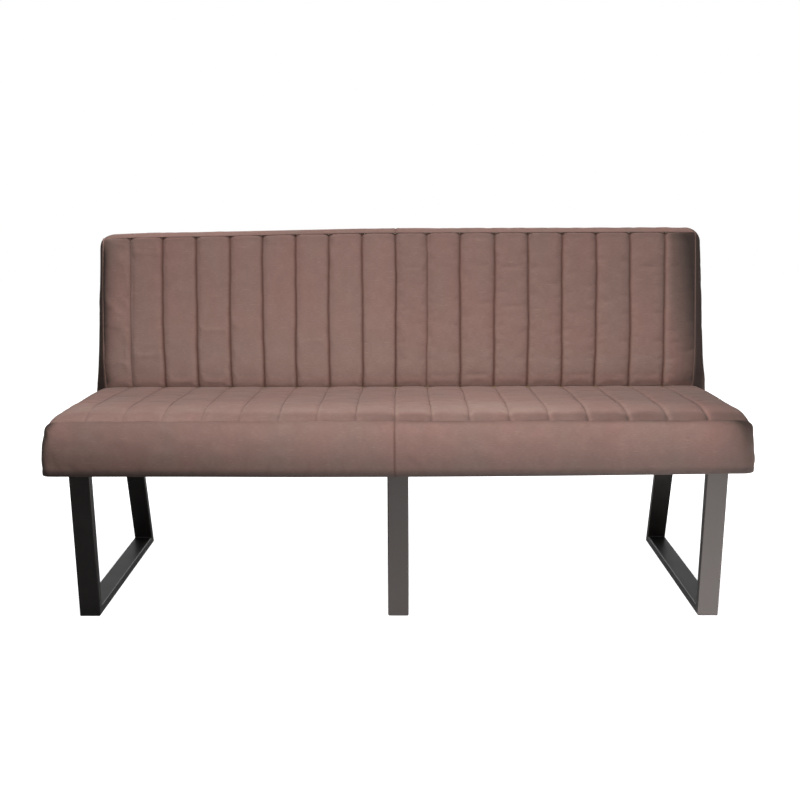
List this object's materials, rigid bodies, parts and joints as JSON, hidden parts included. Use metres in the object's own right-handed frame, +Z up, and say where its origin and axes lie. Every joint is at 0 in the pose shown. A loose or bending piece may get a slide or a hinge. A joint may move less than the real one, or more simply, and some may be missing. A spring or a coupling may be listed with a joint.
{
  "type": "dining bench",
  "caption": "Long upholstered dining bench with a channelled seat, a leaning channelled back and steel sled legs.",
  "frame": {"origin": "on the floor, under the middle of the bench", "axes": "+X along the bench towards its right end as seen by someone who faces it, -Y is the front, +Z is up"},
  "size_m": [1.672, 0.6144, 0.909],
  "materials": {
    "velvet": "cut velvet, short dense pile, mauve brown",
    "powder_coated_steel": "satin black powder coat",
    "glide_plastic": "moulded, matt black",
    "zinc_plated_steel": "bright zinc plate",
    "softwood": "planed, unfinished",
    "plywood": "sanded, unfinished",
    "foam": "cut polyurethane foam",
    "dust_cloth": "thin black non-woven cloth"
  },
  "bodies": {
    "root": {"leg_left_front_post": "powder_coated_steel", "leg_left_rear_post": "powder_coated_steel", "leg_left_foot_bar": "powder_coated_steel", "leg_left_top_plate": "powder_coated_steel", "leg_centre_front_post": "powder_coated_steel", "leg_centre_rear_post": "powder_coated_steel", "leg_centre_foot_bar": "powder_coated_steel", "leg_centre_top_plate": "powder_coated_steel", "leg_right_front_post": "powder_coated_steel", "leg_right_rear_post": "powder_coated_steel", "leg_right_foot_bar": "powder_coated_steel", "leg_right_top_plate": "powder_coated_steel", "glides": "glide_plastic", "leg_screws": "zinc_plated_steel", "seat_front_rail": "softwood", "seat_rear_rail": "softwood", "seat_end_rail_left": "softwood", "seat_end_rail_right": "softwood", "cross_rail_left": "softwood", "cross_rail_centre": "softwood", "cross_rail_right": "softwood", "glue_blocks": "plywood", "seat_deck": "plywood", "seat_foam": "foam", "seat_quilt_left": "velvet", "seat_quilt_right": "velvet", "seat_band_left": "velvet", "seat_band_right": "velvet", "dust_cover": "dust_cloth", "back_upright_left": "plywood", "back_upright_centre": "plywood", "back_upright_right": "plywood", "back_top_rail": "softwood", "back_lower_rail_left": "softwood", "back_lower_rail_right": "softwood", "back_bottom_rail_left": "softwood", "back_bottom_rail_right": "softwood", "back_board": "plywood", "back_foam": "foam", "back_quilt_left": "velvet", "back_quilt_right": "velvet", "back_border_left": "velvet", "back_border_right": "velvet", "back_rear_cover_left": "velvet", "back_rear_cover_right": "velvet", "back_bolts": "zinc_plated_steel", "insert_nuts": "zinc_plated_steel"}
  },
  "joints": []
}
